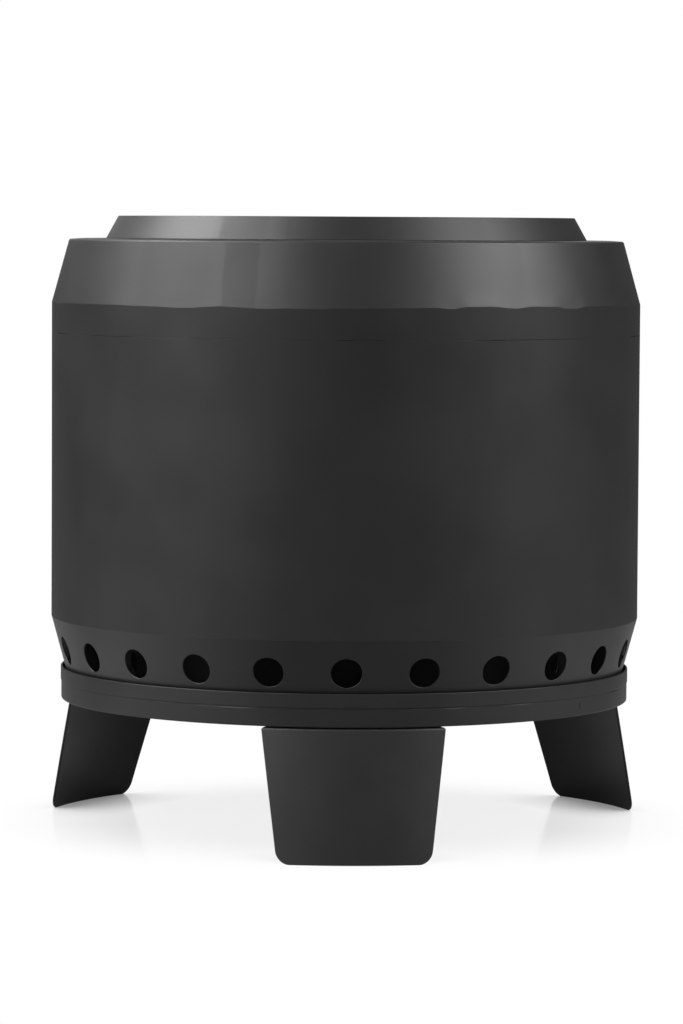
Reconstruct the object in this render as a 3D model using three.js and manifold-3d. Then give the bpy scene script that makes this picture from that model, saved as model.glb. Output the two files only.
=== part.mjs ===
// Smokeless fire pit: a double-walled steel drum that stands in a ring on three splayed legs.
// Millimetres, +Z up. The origin is the centre of the tray's flat underside, on the drum's axis.
// Azimuths turn from the front, -Y, towards +X.

import * as THREE from 'three';
import { mergeVertices } from 'three/addons/utils/BufferGeometryUtils.js';
import Module from 'manifold-3d';

// Sheets and fits
const drumSheet = 1.2; // drum, firebox and ash pan
const plateSheet = 1.5; // tray, base plate and flame ring
const standSheet = 2; // leg ring, legs and grate
const lapGap = 0.3; // play between walls that lap or nest
const seatGap = 0.02; // hairline between faces that rest on each other

// Drum, outside
const bodyDiameter = 495;
const coneHeight = 66.2; // from the pit's foot to the lower kink
const wallHeight = 238.2; // from the lower kink to the shroud's edge
const skirtHeight = 25.2; // the shroud's straight part
const shoulderHeight = 52.7;
const shoulderInset = 14.5; // how far the shoulder leans in
const shelfRise = 0.7; // the shelf's inner part is level, its rim falls by this
const shelfFallWidth = 11;
const lapHeight = 12; // where two sheets overlap

// Air holes of the drum
const intakeHoleCount = 24;
const intakeHoleDiameter = 25;
const intakeHoleHeight = 39.8; // centre above the pit's foot
const coneFlangeWidth = 14; // turned in at the pit's foot

// Firebox, inside the drum
const airGap = 46.3; // between the body wall and the firebox
const fireboxFlangeWidth = 14; // turned out under the shelf
const hearthStep = 12.8; // how much narrower the hearth is
const hearthHeight = 42; // its straight foot
const hearthTaperHeight = 20;
const hearthFlangeWidth = 7.8;
const secondaryHoleCount = 36;
const secondaryHoleDiameter = 10;
const secondaryHoleDrop = 30; // centre below the shelf
const primaryHoleCount = 18;
const primaryHoleDiameter = 16;
const primaryHoleHeight = 20; // centre above the base plate

// Base plate of the pit
const baseRise = 8.5; // its middle stands above its rim
const baseRampWidth = 10;

// Flame ring
const flameHeight = 19;
const flameLean = 10.5;
const flameOverhang = 2.2; // its foot reaches past the firebox wall
const flameSkirtDepth = 15;
const flameSkirtPlay = 1.3;

// Ash pan, its handle and the grate
const panPlay = 11; // room to lift the pan out, between its rim and the hearth
const panRimWidth = 4;
const panDepth = 33;
const panSlotCount = 12;
const panSlotWidth = 24;
const panSlotHeight = 8;
const panSlotDrop = 5; // below the pan's rim
const handleWire = 5;
const handleWidth = 90;
const handleRise = 25; // to the middle of the wire
const handleBend = 12;
const grateInset = 2; // inside the pan's rim
const grateHoleDiameter = 14;
const grateRingPitch = 36; // between the rings of holes
const grateEdge = 24; // at least this much plate outside the last ring
const grateFirstRing = 72; // radius of the inmost ring
const grateFirstHoles = 12;
const grateHolesPerStep = 6; // each ring has this many more than the last
const fingerHoleDiameter = 26;
const fingerHoleSpacing = 56;

// Stand
const bandInset = 7.9; // the band is narrower than the drum
const bandStep = 0.5; // the tray's rim is proud of the leg ring
const ringHeight = 15.2;
const ringFlangeWidth = 26;
const trayRimHeight = 11.7; // what shows above the leg ring
const trayDrop = 1; // the tray's middle is pressed below its seat on the leg ring
const trayDropInset = 6; // from the leg ring's eye in to the pressed middle
const trayDropRamp = 4;
const lipGap = 2.2; // between the tray's lip and the intake cone
const legHeight = 106.9;
const legTopWidth = 150;
const legFootWidth = 124.2;
const legSpread = 24; // how far the foot stands out past the band
const legCornerRadius = 10.5;
const legBendRadius = 3;
const legShoulderRadius = 1.5;
const legCount = 3;
const frontLegDegrees = 1.5; // the front leg sits a little off its even third
const studDiameter = 6;
const studLength = 12;
const studInset = 13; // from the leg ring's outside to the stud
const studEdge = 29; // from the leg's edge to the stud
const nutAcrossFlats = 10;
const nutHeight = 5;

// Facets of the round pieces
const drumSides = 60;
const innerSides = 48;
const bigHoleSides = 10;
const smallHoleSides = 8;
const grateHoleSides = 6;
const legColumns = 8;
const cornerSteps = 4;
const bendSteps = 3;
const handleSteps = 20;
const weldTolerance = 0.0001;
const cutOverrun = 4; // how far a cutter runs past the sheet

// Finishes
const paint = { color: 0x2c2c2c, roughness: 0.48, metalness: 0 };
const stainless = { color: 0xa5a29c, roughness: 0.36, metalness: 1 };
const zinc = { color: 0x8f9398, roughness: 0.4, metalness: 1 };

const wasm = await Module();
wasm.setup();

const turn = (degrees) => THREE.MathUtils.degToRad(degrees);
const even = (count, index) => (index * 2 * Math.PI) / count;

// Shapes

// A closed outline of [radius, height] points, turned round the Z axis.
function turned(outline, sides) {
  const points = outline.map(([radius, height]) => new THREE.Vector2(radius, height));
  const onAxis = points[0].x === 0;
  if (!onAxis) {
    points.push(points[0].clone());
  }
  const geometry = new THREE.LatheGeometry(points, sides);
  return geometry.rotateX(Math.PI / 2);
}

// Merges shared vertices and drops the triangles that collapse on the axis.
function welded(geometry) {
  const bare = geometry.clone();
  bare.deleteAttribute('normal');
  bare.deleteAttribute('uv');
  const merged = mergeVertices(bare, weldTolerance);
  const corners = merged.index.array;
  const kept = [];
  for (let i = 0; i < corners.length; i += 3) {
    const [a, b, c] = corners.slice(i, i + 3);
    if (a !== b && b !== c && c !== a) {
      kept.push(a, b, c);
    }
  }
  merged.setIndex(kept);
  return merged;
}

function solid(geometry) {
  const merged = welded(geometry);
  return new wasm.Manifold(new wasm.Mesh({
    numProp: 3,
    vertProperties: new Float32Array(merged.attributes.position.array),
    triVerts: new Uint32Array(merged.index.array),
  }));
}

// Cuts every cutter out of the body.
function pierced(body, cutters) {
  const cut = cutters.reduce((rest, cutter) => rest.subtract(solid(cutter)), solid(body));
  const mesh = cut.getMesh();
  const geometry = new THREE.BufferGeometry();
  geometry.setAttribute('position', new THREE.BufferAttribute(mesh.vertProperties, 3));
  geometry.setIndex(new THREE.BufferAttribute(mesh.triVerts, 1));
  geometry.computeVertexNormals();
  return geometry;
}

// A round bar that stands on its foot along Z.
function upright(diameter, height, sides) {
  const geometry = new THREE.CylinderGeometry(diameter / 2, diameter / 2, height, sides);
  geometry.rotateX(Math.PI / 2);
  return geometry.translate(0, 0, height / 2);
}

// A round cutter through a wall at this radius and height. It dips by the wall's lean.
function wallCutter(diameter, sides, radius, height, azimuth, lean) {
  const reach = diameter + cutOverrun;
  const geometry = new THREE.CylinderGeometry(diameter / 2, diameter / 2, reach, sides);
  geometry.rotateX(lean);
  geometry.translate(0, -radius, height);
  return geometry.rotateZ(azimuth);
}

function polygon(radius, sides, x = 0, y = 0) {
  const corners = [];
  for (let i = 0; i < sides; i += 1) {
    const angle = even(sides, i);
    corners.push(new THREE.Vector2(x + radius * Math.cos(angle), y + radius * Math.sin(angle)));
  }
  return corners;
}

function piece(name, geometry, finish) {
  const mesh = new THREE.Mesh(geometry, new THREE.MeshStandardMaterial(finish));
  mesh.name = name;
  return mesh;
}

// Radii that several pieces share

const bodyRadius = bodyDiameter / 2;
const bodyInner = bodyRadius - drumSheet;
const lapOuter = bodyInner - lapGap;
const lapInner = lapOuter - drumSheet;
const bandRadius = bodyRadius - bandInset;
const ringOuter = bandRadius - bandStep;
const ringInner = ringOuter - standSheet;
const ringEye = ringOuter - ringFlangeWidth;
const ringTop = ringHeight - standSheet;
const trayWell = ringInner - lapGap;
const trayRimTop = ringTop + trayRimHeight;
const fireboxOuter = bodyInner - airGap;
const fireboxInner = fireboxOuter - drumSheet;
const hearthInner = fireboxInner - hearthStep;
const hearthOuter = hearthInner + drumSheet;

// The intake cone's line clears the tray's lip by lipGap and ends at the lower kink.
const pitFoot = plateSheet + seatGap;
const lipHeight = trayRimTop - pitFoot;
const lipRadius = bandRadius - plateSheet - lipGap;
const coneSlope = (bodyRadius - lipRadius) / (coneHeight - lipHeight);
const coneRadiusAt = (height) => bodyRadius - coneSlope * (coneHeight - height);
const coneSheet = drumSheet * Math.hypot(1, coneSlope); // the sheet, measured level
const coneFoot = coneRadiusAt(0);

// Stand: leg ring

function makeLegRing() {
  const outline = [
    [ringOuter, -standSheet],
    [ringOuter, ringTop],
    [ringInner, ringTop],
    [ringInner, -seatGap],
    [ringEye, -seatGap],
    [ringEye, -standSheet],
  ];
  return piece('leg_ring', turned(outline, drumSides), paint);
}

// Stand: tray, a shallow pan whose rim steps out over the leg ring and whose middle is pressed down

function makeBaseTray() {
  const step = ringTop + lapGap;
  const dropEdge = ringEye - trayDropInset;
  const outline = [
    [0, -trayDrop],
    [dropEdge - trayDropRamp, -trayDrop],
    [dropEdge, 0],
    [trayWell, 0],
    [trayWell, step],
    [bandRadius, step],
    [bandRadius, trayRimTop],
    [bandRadius - plateSheet, trayRimTop],
    [bandRadius - plateSheet, step + plateSheet],
    [trayWell - plateSheet, step + plateSheet],
    [trayWell - plateSheet, plateSheet],
    [dropEdge, plateSheet],
    [dropEdge - trayDropRamp, plateSheet - trayDrop],
    [0, plateSheet - trayDrop],
  ];
  return piece('base_tray', turned(outline, drumSides), paint);
}

// Stand: one leg, with its flange's top at height zero

const legLean = legSpread / (legHeight - legBendRadius);
const legSheetLevel = standSheet * Math.hypot(1, legLean);

// One line across the leg for each height: the outer and inner face, and half the width there.
function legStations() {
  const stations = [];
  const below = (height) => -legBendRadius - height;
  const addSplayed = (height, inset) => {
    const outer = ringOuter + legLean * below(height);
    const share = below(height) / (legHeight - legBendRadius);
    const width = THREE.MathUtils.lerp(legTopWidth, legFootWidth, share);
    stations.push({
      outer: [outer, height],
      inner: [outer - legSheetLevel, height],
      half: width / 2 - inset,
    });
  };
  for (let i = 0; i <= cornerSteps; i += 1) {
    const angle = ((i / cornerSteps) * Math.PI) / 2;
    const rise = legCornerRadius * (1 - Math.cos(angle));
    addSplayed(rise - legHeight, legCornerRadius * (1 - Math.sin(angle)));
  }
  for (let i = 0; i <= bendSteps; i += 1) {
    const angle = ((i / bendSteps) * Math.PI) / 2;
    const onBend = (radius) => [
      ringOuter - legBendRadius + radius * Math.cos(angle),
      -legBendRadius + radius * Math.sin(angle),
    ];
    stations.push({
      outer: onBend(legBendRadius),
      inner: onBend(legBendRadius - standSheet),
      half: legTopWidth / 2 - legShoulderRadius * (1 - Math.cos(angle)),
    });
  }
  const last = stations[stations.length - 1];
  stations.push({ outer: [ringEye, 0], inner: [ringEye, -standSheet], half: last.half });
  return stations;
}

// Where the leg's studs stand: half their angle apart, on the stud circle.
const studCircle = ringOuter - studInset;
const studAngle = Math.asin((legTopWidth / 2 - studEdge) / studCircle);

function makeLegGeometry() {
  const stations = legStations();
  const columns = legColumns + 1;
  const places = [];
  for (const face of ['outer', 'inner']) {
    for (const station of stations) {
      const reach = Math.asin(station.half / Math.max(station.outer[0], ringOuter));
      for (let j = 0; j < columns; j += 1) {
        const angle = reach * ((2 * j) / legColumns - 1);
        const [radius, height] = station[face];
        places.push(radius * Math.sin(angle), -radius * Math.cos(angle), height);
      }
    }
  }
  const at = (face, i, j) => (face * stations.length + i) * columns + j;
  const corners = [];
  const quad = (a, b, c, d) => corners.push(a, b, c, a, c, d);
  for (let i = 0; i < stations.length - 1; i += 1) {
    for (let j = 0; j < legColumns; j += 1) {
      quad(at(0, i, j), at(0, i, j + 1), at(0, i + 1, j + 1), at(0, i + 1, j));
      quad(at(1, i, j), at(1, i + 1, j), at(1, i + 1, j + 1), at(1, i, j + 1));
    }
    quad(at(0, i, 0), at(0, i + 1, 0), at(1, i + 1, 0), at(1, i, 0));
    quad(at(0, i, legColumns), at(1, i, legColumns), at(1, i + 1, legColumns), at(0, i + 1, legColumns));
  }
  const end = stations.length - 1;
  for (let j = 0; j < legColumns; j += 1) {
    quad(at(0, 0, j), at(1, 0, j), at(1, 0, j + 1), at(0, 0, j + 1));
    quad(at(0, end, j), at(0, end, j + 1), at(1, end, j + 1), at(1, end, j));
  }
  const geometry = new THREE.BufferGeometry();
  geometry.setAttribute('position', new THREE.Float32BufferAttribute(places, 3));
  geometry.setIndex(corners);
  const holes = [-studAngle, studAngle].map((azimuth) => {
    const cutter = upright(studDiameter + 2 * lapGap, standSheet + cutOverrun, smallHoleSides);
    cutter.translate(0, -studCircle, -standSheet - cutOverrun / 2);
    return cutter.rotateZ(azimuth);
  });
  return pierced(geometry, holes);
}

function makeNutGeometry() {
  const hexagon = new THREE.Shape(polygon(nutAcrossFlats / 2 / Math.cos(Math.PI / 6), 6));
  const bore = studDiameter / 2 + lapGap / 2;
  hexagon.holes.push(new THREE.Path(polygon(bore, smallHoleSides)));
  return new THREE.ExtrudeGeometry(hexagon, { depth: nutHeight, bevelEnabled: false });
}

// A leg with its two studs and nuts, turned to its place round the ring.
function makeLeg(name, azimuth, firstNumber) {
  const group = new THREE.Group();
  group.position.z = -standSheet - seatGap;
  group.rotation.z = azimuth;
  group.add(piece(name, makeLegGeometry(), paint));
  [-studAngle, studAngle].forEach((angle, i) => {
    const place = [studCircle * Math.sin(angle), -studCircle * Math.cos(angle)];
    const bar = upright(studDiameter, studLength, smallHoleSides);
    const stud = piece(`leg_stud_${firstNumber + i}`, bar, zinc);
    stud.position.set(...place, -studLength);
    const nut = piece(`leg_nut_${firstNumber + i}`, makeNutGeometry(), zinc);
    nut.position.set(...place, -standSheet - seatGap - nutHeight);
    group.add(stud, nut);
  });
  return group;
}

// Pit: intake cone, with a flange turned in at its foot and a lap inside the body wall

function makeIntakeCone() {
  const lapFoot = coneHeight - (bodyRadius - coneSheet - lapInner) / coneSlope;
  const outline = [
    [coneFoot, 0],
    [bodyRadius, coneHeight],
    [lapOuter, coneHeight],
    [lapOuter, coneHeight + lapHeight],
    [lapInner, coneHeight + lapHeight],
    [lapInner, lapFoot],
    [coneRadiusAt(drumSheet) - coneSheet, drumSheet],
    [coneFoot - coneFlangeWidth, drumSheet],
    [coneFoot - coneFlangeWidth, 0],
  ];
  const lean = Math.atan(coneSlope);
  const cutters = [];
  for (let i = 0; i < intakeHoleCount; i += 1) {
    const radius = coneRadiusAt(intakeHoleHeight) - coneSheet / 2;
    cutters.push(wallCutter(
      intakeHoleDiameter, bigHoleSides, radius, intakeHoleHeight, even(intakeHoleCount, i), lean,
    ));
  }
  return piece('intake_cone', pierced(turned(outline, drumSides), cutters), paint);
}

// Pit: body wall, joggled in at its top behind the shroud's skirt

const shroudEdge = coneHeight + wallHeight;

function makeBodyWall() {
  const top = shroudEdge - lapGap;
  const outline = [
    [bodyRadius, coneHeight + lapGap],
    [bodyRadius, top],
    [lapOuter, top],
    [lapOuter, top + lapHeight],
    [lapInner, top + lapHeight],
    [lapInner, top - drumSheet],
    [bodyInner, top - drumSheet],
    [bodyInner, coneHeight + lapGap],
  ];
  return piece('body_wall', turned(outline, drumSides), paint);
}

// Pit: top shroud, with its skirt, its shoulder and the shelf that carries the flame ring

const crease = shroudEdge + skirtHeight;
const shelfRim = crease + shoulderHeight;
const shelfTop = shelfRim + shelfRise;

function makeTopShroud() {
  const shoulder = bodyRadius - shoulderInset;
  const eye = fireboxOuter + lapGap;
  const outline = [
    [bodyRadius, shroudEdge],
    [bodyRadius, crease],
    [shoulder, shelfRim],
    [shoulder - shelfFallWidth, shelfTop],
    [eye, shelfTop],
    [eye, shelfTop - drumSheet],
    [shoulder - shelfFallWidth, shelfTop - drumSheet],
    [shoulder - drumSheet, shelfRim - drumSheet],
    [bodyInner, crease],
    [bodyInner, shroudEdge],
  ];
  return piece('top_shroud', turned(outline, drumSides), paint);
}

// Pit: base plate, its rim on the cone's flange and its middle raised

const baseFloor = drumSheet + seatGap + plateSheet + baseRise;

function makeBasePlate() {
  const rim = drumSheet + seatGap;
  const rampFoot = coneFoot - coneFlangeWidth;
  const rampHead = rampFoot - baseRampWidth;
  const outline = [
    [0, baseFloor - plateSheet],
    [rampHead, baseFloor - plateSheet],
    [rampFoot, rim],
    [coneFoot - 2 * coneSheet, rim],
    [coneFoot - 2 * coneSheet, rim + plateSheet],
    [rampFoot, rim + plateSheet],
    [rampHead, baseFloor],
    [0, baseFloor],
  ];
  return piece('base_plate', turned(outline, innerSides), stainless);
}

// Pit: firebox wall, hung by its flange under the shelf

const hearthFoot = baseFloor + seatGap;
const taperTop = hearthFoot + hearthHeight + hearthTaperHeight;

function makeFireboxWall() {
  const top = shelfTop - drumSheet - seatGap;
  const foot = taperTop + lapGap;
  const outline = [
    [fireboxOuter, foot],
    [fireboxOuter, top - drumSheet],
    [fireboxOuter + fireboxFlangeWidth, top - drumSheet],
    [fireboxOuter + fireboxFlangeWidth, top],
    [fireboxInner, top],
    [fireboxInner, foot],
  ];
  const cutters = [];
  for (let i = 0; i < secondaryHoleCount; i += 1) {
    const height = shelfTop - secondaryHoleDrop;
    cutters.push(wallCutter(
      secondaryHoleDiameter, smallHoleSides, fireboxInner, height, even(secondaryHoleCount, i), 0,
    ));
  }
  return piece('firebox_wall', pierced(turned(outline, innerSides), cutters), stainless);
}

// Pit: hearth, the firebox's narrow foot, which laps round the wall's lower edge

function makeFireboxHearth() {
  const rimInner = fireboxOuter + lapGap;
  const rimOuter = rimInner + drumSheet;
  const rimTop = taperTop + lapGap + lapHeight;
  const taperFoot = hearthFoot + hearthHeight;
  const outline = [
    [hearthOuter + hearthFlangeWidth, hearthFoot],
    [hearthOuter + hearthFlangeWidth, hearthFoot + drumSheet],
    [hearthOuter, hearthFoot + drumSheet],
    [hearthOuter, taperFoot],
    [rimOuter, taperTop],
    [rimOuter, rimTop],
    [rimInner, rimTop],
    [rimInner, taperTop],
    [hearthInner, taperFoot],
    [hearthInner, hearthFoot],
  ];
  const cutters = [];
  for (let i = 0; i < primaryHoleCount; i += 1) {
    const height = hearthFoot + primaryHoleHeight;
    cutters.push(wallCutter(
      primaryHoleDiameter, smallHoleSides, hearthInner, height, even(primaryHoleCount, i + 1 / 2), 0,
    ));
  }
  return piece('firebox_hearth', pierced(turned(outline, innerSides), cutters), paint);
}

// Flame ring: a cone on the shelf, folded under to a skirt that drops into the firebox

function makeFlameRing() {
  const foot = fireboxOuter + flameOverhang;
  const slope = flameLean / flameHeight;
  const level = plateSheet * Math.hypot(1, slope);
  const skirt = fireboxInner - flameSkirtPlay;
  const outline = [
    [foot, 0],
    [foot - flameLean, flameHeight],
    [foot - flameLean - level, flameHeight],
    [foot - slope * plateSheet - level, plateSheet],
    [skirt - plateSheet, plateSheet],
    [skirt - plateSheet, -flameSkirtDepth],
    [skirt, -flameSkirtDepth],
    [skirt, 0],
  ];
  const ring = piece('flame_ring', turned(outline, drumSides), paint);
  ring.position.z = shelfTop + seatGap;
  return ring;
}

// Ash pan, with slots below its rim

const panRimRadius = hearthInner - panPlay;
const panRadius = panRimRadius - panRimWidth;

function makeAshPan() {
  const outline = [
    [0, 0],
    [panRadius, 0],
    [panRadius, panDepth - drumSheet],
    [panRimRadius, panDepth - drumSheet],
    [panRimRadius, panDepth],
    [panRadius - drumSheet, panDepth],
    [panRadius - drumSheet, drumSheet],
    [0, drumSheet],
  ];
  const cutters = [];
  for (let i = 0; i < panSlotCount; i += 1) {
    const cutter = new THREE.BoxGeometry(panSlotWidth, 2 * cutOverrun, panSlotHeight);
    cutter.translate(0, -panRadius, panDepth - panSlotDrop - panSlotHeight / 2);
    cutters.push(cutter.rotateZ(even(panSlotCount, i + 1 / 2)));
  }
  return piece('ash_pan', pierced(turned(outline, innerSides), cutters), stainless);
}

// Ash pan handle: a bent wire whose two ends stand on the pan's floor

function makeAshPanHandle() {
  const half = handleWidth / 2;
  const flat = half - handleBend;
  const straight = handleRise - handleBend;
  const at = (y, z) => new THREE.Vector3(0, y, z);
  const route = new THREE.CurvePath();
  const line = (from, to) => route.add(new THREE.LineCurve3(from, to));
  const bend = (from, corner, to) => route.add(new THREE.QuadraticBezierCurve3(from, corner, to));
  line(at(-half, 0), at(-half, straight));
  bend(at(-half, straight), at(-half, handleRise), at(-flat, handleRise));
  line(at(-flat, handleRise), at(flat, handleRise));
  bend(at(flat, handleRise), at(half, handleRise), at(half, straight));
  line(at(half, straight), at(half, 0));
  const section = new THREE.Shape(polygon(handleWire / 2, smallHoleSides));
  const geometry = new THREE.ExtrudeGeometry(section, { steps: handleSteps, extrudePath: route });
  const handle = piece('ash_pan_handle', geometry, stainless);
  handle.position.z = drumSheet + lapGap;
  return handle;
}

// Grate: a flat plate with rings of holes and two finger holes

function makeGrate() {
  const plateRadius = panRimRadius - grateInset;
  const plate = new THREE.Shape(polygon(plateRadius, innerSides));
  const ringCount = Math.floor((plateRadius - grateEdge - grateFirstRing) / grateRingPitch) + 1;
  for (let ring = 0; ring < ringCount; ring += 1) {
    const radius = grateFirstRing + ring * grateRingPitch;
    const count = grateFirstHoles + ring * grateHolesPerStep;
    for (let i = 0; i < count; i += 1) {
      const angle = even(count, i);
      const place = [radius * Math.cos(angle), radius * Math.sin(angle)];
      plate.holes.push(new THREE.Path(polygon(grateHoleDiameter / 2, grateHoleSides, ...place)));
    }
  }
  for (const side of [-1, 1]) {
    const place = (side * fingerHoleSpacing) / 2;
    plate.holes.push(new THREE.Path(polygon(fingerHoleDiameter / 2, bigHoleSides, place)));
  }
  const geometry = new THREE.ExtrudeGeometry(plate, { depth: standSheet, bevelEnabled: false });
  const grate = piece('grate', geometry, stainless);
  grate.position.z = panDepth + seatGap;
  return grate;
}

// Assembly: the grate rests on the ash pan, the pan in the pit, the pit in the stand

const pan = new THREE.Group();
pan.position.z = hearthFoot;
pan.add(makeAshPan(), makeAshPanHandle(), makeGrate());

const pit = new THREE.Group();
pit.position.z = pitFoot;
pit.add(makeIntakeCone(), makeBodyWall(), makeTopShroud(), makeBasePlate());
pit.add(makeFireboxWall(), makeFireboxHearth(), makeFlameRing(), pan);

// The tray's seat on the leg ring is at height zero here.
const onSeat = new THREE.Group();
onSeat.position.z = trayDrop;
onSeat.add(makeLegRing(), makeBaseTray());
onSeat.add(makeLeg('leg_front', turn(frontLegDegrees), 1));
onSeat.add(makeLeg('leg_right', even(legCount, 1), 3));
onSeat.add(makeLeg('leg_left', -even(legCount, 1), 5));
onSeat.add(pit);

const firePit = new THREE.Group();
firePit.add(onSeat);

export default firePit;
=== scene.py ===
import math

import bmesh
import bpy
from mathutils import Matrix, Vector


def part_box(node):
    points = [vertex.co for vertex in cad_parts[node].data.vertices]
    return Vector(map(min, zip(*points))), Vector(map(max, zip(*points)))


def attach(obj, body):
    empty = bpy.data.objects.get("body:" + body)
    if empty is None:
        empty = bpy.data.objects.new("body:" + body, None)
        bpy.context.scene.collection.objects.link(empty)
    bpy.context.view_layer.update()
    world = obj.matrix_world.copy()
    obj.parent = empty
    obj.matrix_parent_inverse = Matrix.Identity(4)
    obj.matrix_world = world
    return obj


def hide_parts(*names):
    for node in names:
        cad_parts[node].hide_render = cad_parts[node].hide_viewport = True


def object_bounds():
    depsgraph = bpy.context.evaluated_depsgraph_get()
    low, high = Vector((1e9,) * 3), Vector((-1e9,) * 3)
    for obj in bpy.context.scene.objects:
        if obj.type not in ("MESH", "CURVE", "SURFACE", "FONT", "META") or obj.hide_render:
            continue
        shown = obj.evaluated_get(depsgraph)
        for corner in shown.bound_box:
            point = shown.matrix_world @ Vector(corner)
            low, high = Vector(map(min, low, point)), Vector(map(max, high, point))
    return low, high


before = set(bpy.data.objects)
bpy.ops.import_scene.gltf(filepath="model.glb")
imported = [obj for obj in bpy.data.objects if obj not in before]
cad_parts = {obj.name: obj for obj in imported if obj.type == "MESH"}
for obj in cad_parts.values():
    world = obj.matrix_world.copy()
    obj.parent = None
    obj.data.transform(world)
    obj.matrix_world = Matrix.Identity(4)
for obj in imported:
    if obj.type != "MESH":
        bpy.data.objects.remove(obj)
cad_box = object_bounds()


# The photograph's view
# The pit was photographed from just above the height of its rim with a long lens, from 3.7 m away,
# and it appears turned half a degree to the right and leaning a third of a degree.

MM = 0.001
floor_level = cad_box[0].z
view_distance = 3733.7 * MM
view_height = 505.4 * MM  # above the floor
view_turn = math.radians(-0.5)  # how far round the pit the camera stands
view_aside = math.radians(0.044)  # how far to the left of the axis it looks
view_pitch = math.radians(3.71)
view_roll = math.radians(0.328)
view_lens = 155.55  # for the 36 mm along the photograph's long side


def add_object(name, data):
    """A new object in the scene that shows this mesh, lamp or camera."""
    item = bpy.data.objects.new(name, data)
    bpy.context.scene.collection.objects.link(item)
    return item


camera_data = bpy.data.cameras.new("photograph_view")
camera_data.lens = view_lens
camera_data.sensor_width = 36
camera = add_object("photograph_view", camera_data)
aim = (
    Matrix.Rotation(view_aside, 4, "Z")
    @ Matrix.Rotation(math.radians(90) - view_pitch, 4, "X")
    @ Matrix.Rotation(view_roll, 4, "Z")
)
stand_point = Matrix.Translation((0, -view_distance, floor_level + view_height))
camera.matrix_world = Matrix.Rotation(view_turn, 4, "Z") @ stand_point @ aim
bpy.context.scene.camera = camera


# Leg ring
# A 2 mm steel strip rolled into a ring, its lower edge turned in as a flange for the tray, and butt welded.
# It carries the satin charcoal stove paint of the whole outside, baked to a faint orange peel.


def srgb(code):
    """The linear red, green, blue and alpha of a hex colour such as "#2b2b2b"."""
    shares = [int(code[i:i + 2], 16) / 255 for i in (1, 3, 5)]
    return (*(s / 12.92 if s <= 0.04045 else ((s + 0.055) / 1.055) ** 2.4 for s in shares), 1)


def socket(sockets, name):
    """The socket of this name that the node's settings leave switched on."""
    return next(item for item in sockets if item.name == name and item.enabled)


def add_node(tree, kind, inputs=(), **settings):
    """Adds a node with its settings. An input, by name or number, is given a value or what feeds it: an
    output, a node for its first output, or a list of these where a node joins several."""
    node = tree.nodes.new(kind)
    for name, value in settings.items():
        setattr(node, name, value)
    for name, value in dict(inputs).items():
        target = node.inputs[name] if isinstance(name, int) else socket(node.inputs, name)
        for source in value if isinstance(value, list) else [value]:
            if isinstance(source, bpy.types.Node):
                source = next(output for output in source.outputs if output.enabled)
            if isinstance(source, bpy.types.NodeSocket):
                tree.links.new(source, target)
            else:
                target.default_value = source
    return node


def new_material(name):
    """An empty material and its node tree."""
    material = bpy.data.materials.new(name)
    material.use_nodes = True
    material.node_tree.nodes.clear()
    return material, material.node_tree


def blend(tree, noise, colours, roughness, reach=(0, 1)):
    """The colour and the roughness that change between two ends as the noise does over its reach."""
    colour = add_node(
        tree, "ShaderNodeMix", {"Factor": noise, "A": colours[0], "B": colours[1]}, data_type="RGBA"
    )
    ends = dict(zip(("From Min", "From Max", "To Min", "To Max"), (*reach, *roughness)))
    return {"Base Color": colour, "Roughness": add_node(tree, "ShaderNodeMapRange", {"Value": noise, **ends})}


def end_material(tree, inputs):
    """The end of a material: its principled surface with these inputs."""
    surface = add_node(tree, "ShaderNodeBsdfPrincipled", inputs)
    add_node(tree, "ShaderNodeOutputMaterial", {"Surface": surface})


# Satin stove paint: a matt-looking silicone enamel with a soft, wide highlight. Its grain is the orange peel
# of the spray, and the film's thickness gives patches of slightly different grey and gloss.
paint_grey = srgb("#1a1a1a")
paint_patch = srgb("#1e1e1e")
paint_patch_size = 70 * MM
paint_specular = 0.06
paint_roughness = (0.42, 0.5)
patch_range = (0.3, 0.7)  # the values of the patches' noise between which the roughness changes
peel_size = 1.6 * MM
peel_strength = 0.16
peel_height = 0.04 * MM

satin_paint, tree = new_material("satin_stove_paint")
place = add_node(tree, "ShaderNodeTexCoord").outputs["Object"]
patches = add_node(tree, "ShaderNodeTexNoise", {"Vector": place, "Scale": 1 / paint_patch_size, "Detail": 3})
peel = add_node(tree, "ShaderNodeTexNoise", {"Vector": place, "Scale": 1 / peel_size, "Detail": 1})
relief = add_node(
    tree, "ShaderNodeBump", {"Height": peel, "Strength": peel_strength, "Distance": peel_height}
)
shade = blend(tree, patches, (paint_grey, paint_patch), paint_roughness, patch_range)
end_material(tree, {**shade, "Normal": relief, "Specular IOR Level": paint_specular})

sheet_edge = 0.35 * MM  # how far a sheared edge is rounded by the paint
tightest_bend = 0.2 * MM
bend_steps = 4
bend_guard = 0.5 * MM  # the length of the short face beside a bend
bend_room_share = 0.45  # how much of the shorter side a bend may take up
longest_face = 12 * MM
double_reach = 0.001 * MM  # vertices closer than this are one
around = 192  # faces round a full turn
fine_around = 360

ring_low, ring_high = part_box("leg_ring")
ring_radius = ring_high.x
ring_sheet = 1.98 * MM
ring_eye = ring_radius - 26 * MM
ring_bend = 0.9 * MM
joint_azimuth = math.radians(53.1)
joint_width = 2 * MM
joint_depth = 1.1 * MM
joint_columns = (-1.2, -0.5, -0.25, 0, 0.25, 0.5, 1.2)  # in widths of the joint
joint_reach = (0.3, 0.7)  # where the groove ends, as shares of the strip's height
burr_height = 0.9 * MM
burr_depth = 0.6 * MM
stretch_end = math.radians(0.8)  # how gradually a stretch of a seam begins and ends
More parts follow.
